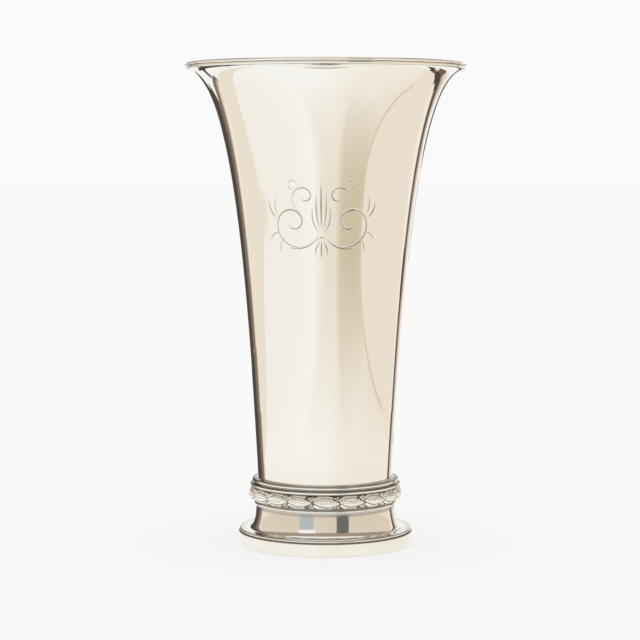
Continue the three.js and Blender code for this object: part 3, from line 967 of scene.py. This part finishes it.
class VASE_OT_foot(bpy.types.Operator):
    """Make the spun foot and its plinth band"""
    bl_idname = "vase.foot"
    bl_label = "Foot and plinth"

    # How far the painted shade is full, and where it is gone
    UNDER_BEAD = 0.6 * MM, 1.6 * MM  # down the neck from the bead
    UNDER_ROLL = 0.1 * MM, 0.6 * MM  # up from the rolled edge's lowest line
    ON_EDGE = 1.2 * MM, 2.5 * MM  # in from the rolled edge
    EDGE_TOP = 1.6  # height over that line where it is full, in radii of the roll
    PLINTH_TOP = 0.1 * MM  # down from the plinth's top
    PLINTH_BASE = 0.3 * MM  # height above the table where it is gone

    def execute(self, context):
        """Build both pieces in place."""
        sizes, sheet = context.scene.vase_foot, context.scene.vase_body.sheet
        place(self.shell(sizes, sheet), "foot_shell", "polished_silver", spun_silver())
        place(self.plinth(sizes), "plinth_band", "polished_silver", spun_silver())
        return {'FINISHED'}

    def shell(self, sizes, sheet):
        """A closely rolled edge, flange, cove, neck and seat outside, and the sheet's inner face."""
        low, top, outer = span("foot_shell")
        roll = sizes.edge_roll
        flange = low + 2 * roll
        bead_base = span("collar_base_bead")[0]

        def cove(depth):
            """The hollow curve from the flange up to the bead, a depth inside the outer face."""
            foot = sizes.neck_radius + sizes.cove_width
            neck = sizes.neck_radius - depth
            lean = math.tan(sizes.neck_lean) * sizes.cove_pull_down
            return bow(
                (foot, flange - depth),
                (foot - sizes.cove_pull_in - depth, flange - depth),
                (neck + lean, bead_base - sizes.cove_pull_down - depth),
                (neck, bead_base), steps=3 * ARC_STEPS).tolist()

        section = (
            arc((outer - roll, low + roll), (roll, roll), -90, 90) + cove(0)
            + [(sizes.neck_radius, top), (sizes.seat_bore, top)]
            + [(sizes.seat_bore, top - sheet), (sizes.neck_radius - sheet, top - sheet)]
            + cove(sheet)[::-1] + [(outer - roll, flange - sheet)])
        radii, heights = np.array(section).T
        up_neck = fade(heights, flange, bead_base)
        tarnish = sizes.flange_tarnish + (sizes.neck_tarnish - sizes.flange_tarnish) * up_neck
        # Painted shadow on the neck under the base bead
        under_bead = 1 - fade(bead_base - heights, *self.UNDER_BEAD)
        # Painted shade in the gap under the rolled edge
        under_roll = 1 - fade(heights - low, *self.UNDER_ROLL)
        # Painted reflection of a dark room overhead on the rolled edge's top
        on_edge = 1 - fade(outer - radii, *self.ON_EDGE)
        on_top = fade(heights - low, roll, self.EDGE_TOP * roll)
        hollow = (
            sizes.bead_oxide * under_bead + sizes.roll_oxide * under_roll
            + sizes.edge_oxide * on_edge * on_top)
        return turned("foot_shell_spun", section, hollow, tarnish)

    def plinth(self, sizes):
        """A plain strip with softened edges."""
        low, top, outer = span("plinth_band")
        soft = sizes.plinth_softening
        inner = span("foot_shell")[2] - sizes.edge_roll - sizes.plinth_ledge
        section = (
            [(inner, low)]
            + arc((outer - soft, low + soft), (soft, soft), -90, 0, CORNER_STEPS)
            + [(outer, top - 2 * soft)]
            + arc((outer - soft, top - soft), (soft, soft), 0, 90, CORNER_STEPS)
            + [(inner, top)])
        heights = np.array(section)[:, 1]
        # Painted shade on the plinth's top, in the gap under the rolled edge
        at_top = fade(heights, top - 2 * soft, top - self.PLINTH_TOP)
        # Painted contact shadow where the plinth meets the table
        at_base = 1 - fade(heights, low, low + self.PLINTH_BASE)
        hollow = sizes.plinth_oxide * at_top + sizes.base_oxide * at_base
        return turned("plinth_band_strip", section, hollow, np.full(len(section), sizes.plinth_tarnish))


def spot(bearing, distance, height):
    """A place on the stage, with its bearing in degrees to the right of the camera."""
    turn = math.radians(bearing)
    return distance * math.sin(turn), -distance * math.cos(turn), height


def seen_share(tree):
    """1 for what is seen, directly or in metal or glass, and 0 for light on its way to other things."""
    path = add(tree, 'ShaderNodeLightPath')
    seen = path.outputs['Is Camera Ray']
    for ray in ('Is Glossy Ray', 'Is Transmission Ray'):
        seen = add(tree, 'ShaderNodeMath', {0: seen, 1: path.outputs[ray]}, operation='MAXIMUM').outputs[0]
    return seen


class VASE_OT_stage(bpy.types.Operator):
    """Set the camera, the pale floor, the soft light and the papers that the silver mirrors"""
    bl_idname = "vase.stage"
    bl_label = "Stage"

    RUG_HEIGHT = 1 * MM
    LAYER = 0.5 * MM  # between papers that lie on each other

    def execute(self, context):
        """Make everything round the vase."""
        scene = context.scene
        sizes = scene.vase_stage
        scene.view_settings.view_transform = 'Standard'
        self.camera(scene, sizes)
        self.world(scene, sizes)
        self.floor(sizes)
        self.papers(sizes)
        return {'FINISHED'}

    def camera(self, scene, sizes):
        """A long lens, looking down a little."""
        data = bpy.data.cameras.new("camera")
        data.lens = sizes.lens
        camera = bpy.data.objects.new("camera", data)
        camera.location = sizes.camera
        camera.rotation_euler = (math.pi / 2 - sizes.tilt, 0, 0)
        scene.collection.objects.link(camera)
        scene.camera = camera

    def world(self, scene, sizes):
        """White all round: what the camera and the silver see, and an even soft light for the rest."""
        world = bpy.data.worlds.new("white_studio")
        world.use_nodes = True
        tree = world.node_tree
        tree.nodes.clear()
        white = add(tree, 'ShaderNodeBackground', {'Color': rgba(sizes.backdrop), 'Strength': 1.0})
        light = add(tree, 'ShaderNodeBackground', {'Color': (1, 1, 1, 1), 'Strength': sizes.light})
        mixed = add(tree, 'ShaderNodeMixShader', {
            0: seen_share(tree), 1: light.outputs[0], 2: white.outputs[0],
        })
        add(tree, 'ShaderNodeOutputWorld', {'Surface': mixed.outputs[0]})
        scene.world = world

    def floor(self, sizes):
        """A pale matt table top that keeps a soft shadow of the vase."""
        half = sizes.floor_size / 2
        corners = [(-half, -half, 0), (half, -half, 0), (half, half, 0), (-half, half, 0)]
        floor = new_piece("floor", corners, [(0, 1, 2, 3)])
        floor.location.z = -sizes.floor_drop
        material, tree = new_material("matt_white_laminate")
        glow = add(tree, 'ShaderNodeMath', {0: seen_share(tree), 1: sizes.floor_glow}, operation='MULTIPLY')
        matt = add(tree, 'ShaderNodeBsdfDiffuse', {'Color': rgba(sizes.floor)})
        even = add(tree, 'ShaderNodeEmission', {'Color': rgba(sizes.floor), 'Strength': 1.0})
        mixed = add(tree, 'ShaderNodeMixShader', {
            0: glow.outputs[0], 1: matt.outputs[0], 2: even.outputs[0],
        })
        add(tree, 'ShaderNodeOutputMaterial', {'Surface': mixed.outputs[0]})
        floor.data.materials.append(material)

    def studio_paper(self, name, one_sided):
        """Evenly lit paper, tinted corner by corner, which may be clear on the side away from the vase."""
        material, tree = new_material(name)
        tint = add(tree, 'ShaderNodeAttribute', attribute_name="tint")
        surface = add(tree, 'ShaderNodeEmission', {'Color': tint.outputs['Color'], 'Strength': 1.0})
        if one_sided:
            side = add(tree, 'ShaderNodeNewGeometry').outputs['Backfacing']
            clear = add(tree, 'ShaderNodeBsdfTransparent')
            surface = add(tree, 'ShaderNodeMixShader', {0: side, 1: clear.outputs[0], 2: surface.outputs[0]})
        add(tree, 'ShaderNodeOutputMaterial', {'Surface': surface.outputs[0]})
        return material

    def strip(self, name, edges, tints, material, far_tints=None):
        """A sheet that only mirrors show, between two edges with as many corners as there are tints."""
        size = len(tints)
        faces = [(step, step + 1, size + step + 1, size + step) for step in range(size - 1)]
        sheet = new_piece(name, [*edges[0], *edges[1]], faces)
        tinted = sheet.data.color_attributes.new("tint", 'FLOAT_COLOR', 'POINT')
        tinted.data.foreach_set("color", np.ravel([rgba(tint) for tint in (*tints, *(far_tints or tints))]))
        sheet.data.materials.append(material)
        sheet.visible_camera = False
        sheet.visible_diffuse = False
        sheet.visible_shadow = False
        sheet.visible_transmission = False

    def screen(self, name, stops, low, high, material, turns=(0, 0)):
        """A sheet tinted along its bearings.

        Its low and high edges each have a distance and a height, and may be turned by some degrees.
        """
        edges = [
            [spot(bearing + turn, distance, height) for bearing, _ in stops]
            for (distance, height), turn in zip((low, high), turns)
        ]
        self.strip(name, edges, [tint for _, tint in stops], material)

    def rug(self, name, left_line, right_line, tint, material):
        """A painted reflection, a patch of one tint that lies on the table between two lines of bearings and
        distances.
        """
        edges = [
            [spot(bearing, distance, self.RUG_HEIGHT) for bearing, distance in line]
            for line in (left_line, right_line)
        ]
        self.strip(name, edges, [tint] * len(left_line), material)

    def papers(self, sizes):
        """What the silver mirrors: screens behind it, papers on the table and the room in front."""
        paper = self.studio_paper("studio_paper", one_sided=False)
        leaning = self.studio_paper("leaning_paper", one_sided=True)
        self.side_screens(sizes, paper, leaning)
        self.right_back(sizes, paper)
        self.table_papers(sizes, paper)
        self.room(sizes, paper)

    def side_screens(self, sizes, paper, leaning):
        """Screens on both sides, each lower one hiding the table in front of the next; the lowest lean in."""
        far_left = ((-7, sizes.dark), (7, sizes.dark))
        middle_left = ((7, sizes.dark), (13, sizes.dark), (20, sizes.umber))
        inner_left = ((20, sizes.umber), (25, sizes.umber), (28, sizes.peach), (32, sizes.cream))
        outer_left = far_left + middle_left[1:]
        left = outer_left + inner_left[1:]
        right = (
            (0, sizes.beige), (2, sizes.cream), (4.5, sizes.cream), (7.5, sizes.dark), (9.5, sizes.dark),
            (12, sizes.umber), (15.5, sizes.greige), (21.5, sizes.beige), (26, sizes.backdrop))

        # Tints, distance and height of the low edge and of the high one, how each is turned, and the paper
        for stops, low, high, turns, material in (
                (far_left, (0.8, 0.105), (0.8, 0.19), (-157, -157), paper),
                (middle_left, (0.8, 0.07), (0.8, 0.19), (-157, -157), paper),
                (inner_left, (0.48, 0.01), (0.48, 0.175), (-155.5, -155.5), paper),
                (outer_left, (0.46, 0.04), (0.24, 0.155), (-155, -149.5), leaning),
                (left, (0.34, 0.0), (0.24, 0.07), (-153, -149.5), leaning),
                (left, (0.21, 0.0), (0.14, 0.05), (-147.5, -142.5), leaning),
                (left, (0.14, 0.0), (0.09, 0.03), (-142.5, -135), leaning),
                (right, (0.48, 0.06), (0.48, 0.165), (125.5, 125.5), paper),
                (right, (0.38, 0.0), (0.26, 0.1), (123.8, 120.8), leaning),
                (right, (0.21, 0.0), (0.14, 0.05), (118, 113), leaning),
                (right, (0.14, 0.0), (0.09, 0.03), (113, 105.5), leaning)):
            self.screen("side_screen", stops, low, high, material, turns)

    def right_back(self, sizes, paper):
        """Narrow dark screens behind the right ones, and painted dark reflections on the table on both sides.
        """
        far, near = 0.48, 0.475
        upper = ((153, sizes.greige), (155, sizes.dark), (165, sizes.dark))
        self.screen("screen_right_back", upper, (far, 0.178), (far, 0.222), paper)
        lower = ((162, sizes.greige), (163, sizes.dark), (168, sizes.dark))
        self.screen("screen_right_back", lower, (far, 0.118), (far, 0.178), paper)
        self.screen(
            "screen_right_low", ((130, sizes.dark), (137, sizes.dark)), (near, 0.0), (near, 0.1), paper)

        # Bearings of a painted reflection's two sides, distances of its near and far ends, and its tint
        for sides, ends, tint in (
                ((129, 139), (0.33, 0.75), sizes.dark),
                ((139, 150), (0.33, 0.42), sizes.dark),
                ((139, 150), (0.42, 0.75), sizes.brown)):
            left_line, right_line = ([(side, end) for end in ends] for side in sides)
            self.rug("rug_right", left_line, right_line, tint, paper)
        outside = ((-168, 0.2), (-168, 0.65), (-168, 0.8))
        inside = ((-153, 0.2), (-154, 0.65), (-158, 0.8))
        self.rug("rug_left", outside, inside, sizes.dark, paper)

    def table_papers(self, sizes, paper):
        """Warm papers on the table, left and right, and the table's painted warm glow and painted shade at
        its front.
        """
        left_edge = (
            (-0.12, 0.12), (-0.26, 0.1), (-0.42, 0.1), (-0.6, 0.115), (-0.76, 0.085), (-0.83, -0.01),
            (-0.76, -0.18), (-0.7, -0.33))
        right_edge = (
            (0.2, 0.19), (0.3, 0.14), (0.36, 0.11), (0.405, 0.03), (0.445, -0.14), (0.46, -0.27),
            (0.475, -0.4), (0.51, -0.5), (0.57, -0.7))

        def moved(edge, across, back, layer):
            """An edge on the table, moved to the right and back, and laid a few layers up."""
            return [(x + across, y + back, layer * self.LAYER) for x, y in edge]

        for name, edge, across, back in (
                ("paper_left", left_edge, -1.5, 1.0), ("paper_right", right_edge, 2.0, 1.4)):
            edges = [moved(edge, 0, 0, 3), moved(edge, across, back, 3)]
            self.strip(name, edges, [sizes.beige] * len(edge), paper)
        shadow = [moved(right_edge, -0.013, -0.006, 2), moved(right_edge, 0, 0, 2)]
        faint = 3  # corners at the back where the shadow hardly shows
        shadow_tints = [sizes.beige] * faint + [sizes.sand] * (len(right_edge) - faint)
        self.strip("paper_edge", shadow, shadow_tints, paper)

        # Painted light on the table top: warm light thrown by the right paper, and shade towards the table's
        # front
        columns = (-0.9, -0.45, -0.15, 0.0, 0.13, 0.22, 0.42, 0.62)
        left_tints = (sizes.milk, sizes.milk, sizes.floor)
        back_tints = (*left_tints, sizes.floor, sizes.pale, sizes.pale, sizes.beige, sizes.beige)
        front_tints = (*left_tints, sizes.beige, sizes.beige, sizes.sand, sizes.tan, sizes.tan)
        lines = ((0.2, back_tints), (-0.22, back_tints), (-0.6, front_tints), (-1.05, front_tints))
        for (near, near_tints), (far, far_tints) in zip(lines, lines[1:]):
            edges = [[(x, y, self.LAYER) for x in columns] for y in (near, far)]
            self.strip("table_warmth", edges, near_tints, paper, far_tints)

    def room(self, sizes, paper):
        """A pale wall with a window and a door, its shaded upper part, and a screen at each end."""
        wall_top = 1.05
        window_top = 0.58
        far_left = ((-153, sizes.dark), (-141, sizes.dark), (-133, sizes.umber), (-129, sizes.wall))
        far_right = (
            (130, sizes.wall), (133, sizes.cream), (137, sizes.dark), (141, sizes.dark),
            (146, sizes.greige), (152, sizes.wall))
        wall = [(bearing, sizes.wall) for bearing in range(-130, 131, 10)]
        shade = [(bearing, sizes.shade) for bearing in range(-180, 181, 10)]
        window = ((-42, sizes.sky), (-19, sizes.sky))
        glow = ((-44, sizes.backdrop), (-16, sizes.backdrop))
        door = ((18, sizes.slate), (38, sizes.slate))

        # Name, tints, distance, and the heights of the low and the high edge
        for name, stops, distance, low, high in (
                ("room_wall", wall, 2.0, 0.0, wall_top),
                ("room_shade", shade, 2.0, wall_top, 3.2),
                ("room_screen", far_left, 1.95, 0.3, 1.6),
                ("room_screen", far_right, 1.95, 0.3, 1.6),
                ("room_window", window, 1.9, 0.0, window_top),
                ("room_window_top", glow, 1.9, window_top, wall_top),
                ("room_door", door, 1.9, 0.0, wall_top)):
            self.screen(name, stops, (distance, low), (distance, high), paper)


class VASE_PT_pieces(bpy.types.Panel):
    """Lists the pieces of the vase"""
    bl_idname = "VASE_PT_pieces"
    bl_label = "Silver vase"
    bl_space_type = 'VIEW_3D'
    bl_region_type = 'UI'
    bl_category = "Vase"

    def draw(self, context):
        """One button for each group of pieces, then the sizes and colours."""
        for operator in OPERATORS:
            self.layout.operator(operator.bl_idname)
        for name in GROUPS:
            group = getattr(context.scene, name)
            for item in group.bl_rna.properties:
                if not item.is_readonly and item.identifier != "name":
                    self.layout.prop(group, item.identifier)


GROUPS = {
    "vase_body": VaseBodySizes,
    "vase_ornament": VaseOrnamentSizes,
    "vase_wires": VaseWireSizes,
    "vase_laurel": VaseLaurelSizes,
    "vase_foot": VaseFootSizes,
    "vase_finish": VaseFinish,
    "vase_stage": VaseStageSizes,
}
OPERATORS = (VASE_OT_body, VASE_OT_lip, VASE_OT_collar, VASE_OT_laurel, VASE_OT_foot, VASE_OT_stage)


def register():
    """Register the classes and hang the properties on the scene."""
    for kind in (*GROUPS.values(), *OPERATORS, VASE_PT_pieces):
        bpy.utils.register_class(kind)
    for name, kind in GROUPS.items():
        setattr(bpy.types.Scene, name, bpy.props.PointerProperty(type=kind))


def unregister():
    """Undo what register did."""
    for name in GROUPS:
        delattr(bpy.types.Scene, name)
    for kind in reversed((*GROUPS.values(), *OPERATORS, VASE_PT_pieces)):
        bpy.utils.unregister_class(kind)


def main():
    """Make every piece and the stage."""
    register()
    bpy.ops.vase.stage()
    bpy.ops.vase.body()
    bpy.ops.vase.lip()
    bpy.ops.vase.collar()
    bpy.ops.vase.laurel()
    bpy.ops.vase.foot()


if __name__ == "__main__":
    main()
